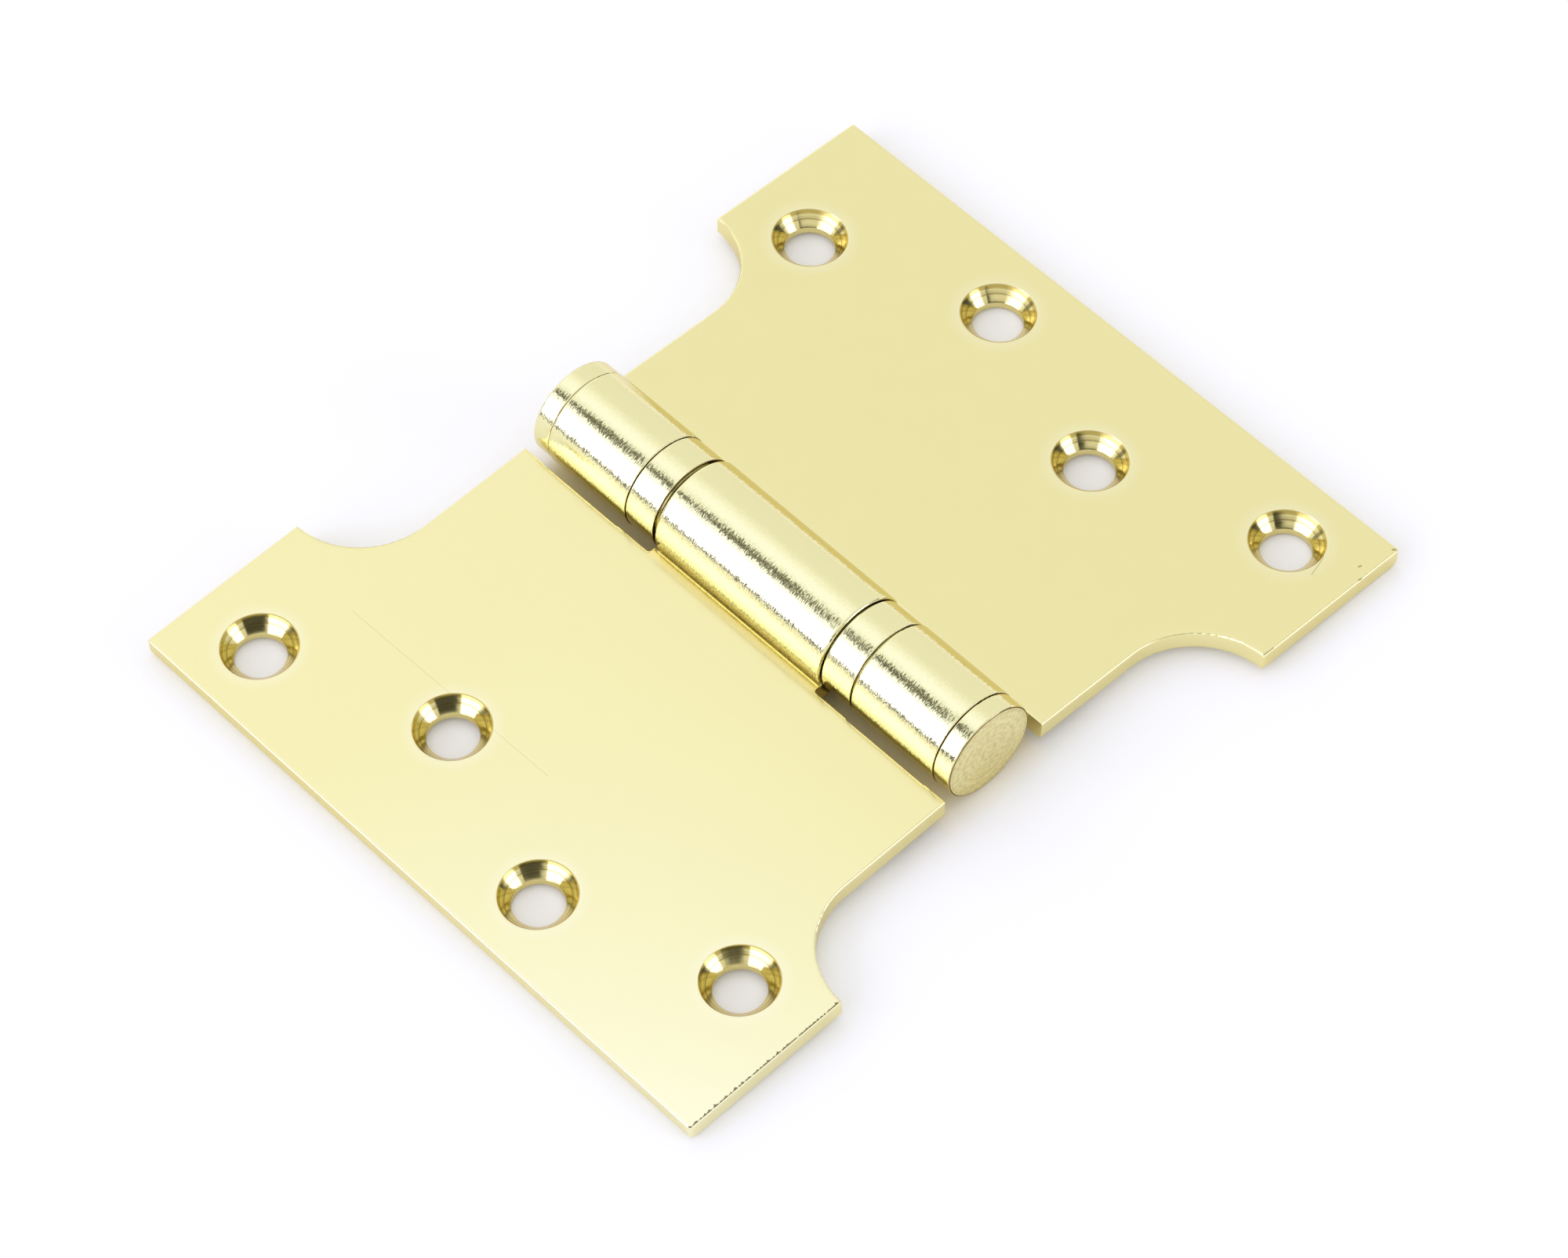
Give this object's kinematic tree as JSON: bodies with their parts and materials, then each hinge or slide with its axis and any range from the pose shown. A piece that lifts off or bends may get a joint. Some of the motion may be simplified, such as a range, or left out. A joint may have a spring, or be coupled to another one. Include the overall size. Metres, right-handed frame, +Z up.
{
  "type": "parliament hinge",
  "caption": "Door hinge with two T-shaped brass leaves, countersunk screw holes in a zigzag and a capped ball-bearing barrel with a fixed pin.",
  "frame": {"origin": "on the surface the open hinge lies on, straight below the barrel axis at the middle of the barrel's length", "axes": "+Y along the barrel and its pin; +X across the open hinge, towards the leaf with the two outer knuckles; +Z up, out of the leaves' countersunk faces"},
  "size_m": [0.1274, 0.1024, 0.0147],
  "materials": {
    "leaf_brass": "polished with faint brushed lines along the barrel",
    "cap_brass": "satin turned face",
    "collar_brass": "polished, turned",
    "cage_brass": "plain sheet",
    "pin_steel": "ground",
    "bearing_steel": "hardened and ground",
    "ball_steel": "polished"
  },
  "bodies": {
    "outer_knuckle_leaf": {"leaf_with_outer_knuckles": "leaf_brass", "hinge_pin": "pin_steel", "end_cap_upper": "cap_brass", "end_cap_lower": "cap_brass", "bearing_shell_upper": "collar_brass", "bearing_shell_lower": "collar_brass", "fixed_race_upper": "bearing_steel", "fixed_race_lower": "bearing_steel"},
    "middle_knuckle_leaf": {"leaf_with_middle_knuckle": "leaf_brass", "swing_race_upper": "bearing_steel", "swing_race_lower": "bearing_steel"},
    "upper_ball_ring": {"ball_cage_upper": "cage_brass", "ball_set_upper": "ball_steel"},
    "lower_ball_ring": {"ball_cage_lower": "cage_brass", "ball_set_lower": "ball_steel"}
  },
  "joints": [
    {"name": "leaf_swing", "type": "hinge", "parent": "outer_knuckle_leaf", "child": "middle_knuckle_leaf", "pos_m": [0, 0, 0.00735], "axis": [0, 1, 0], "range_deg": [-112, 184]},
    {"name": "upper_balls_roll", "type": "hinge", "parent": "outer_knuckle_leaf", "child": "upper_ball_ring", "pos_m": [0, 0.0183, 0.00735], "axis": [0, 1, 0], "range_deg": [-56, 92]},
    {"name": "lower_balls_roll", "type": "hinge", "parent": "outer_knuckle_leaf", "child": "lower_ball_ring", "pos_m": [0, -0.0183, 0.00735], "axis": [0, 1, 0], "range_deg": [-56, 92]}
  ],
  "couplings": [
    {"joint": "upper_balls_roll", "follows": "leaf_swing", "ratio": 0.5},
    {"joint": "lower_balls_roll", "follows": "leaf_swing", "ratio": 0.5}
  ]
}
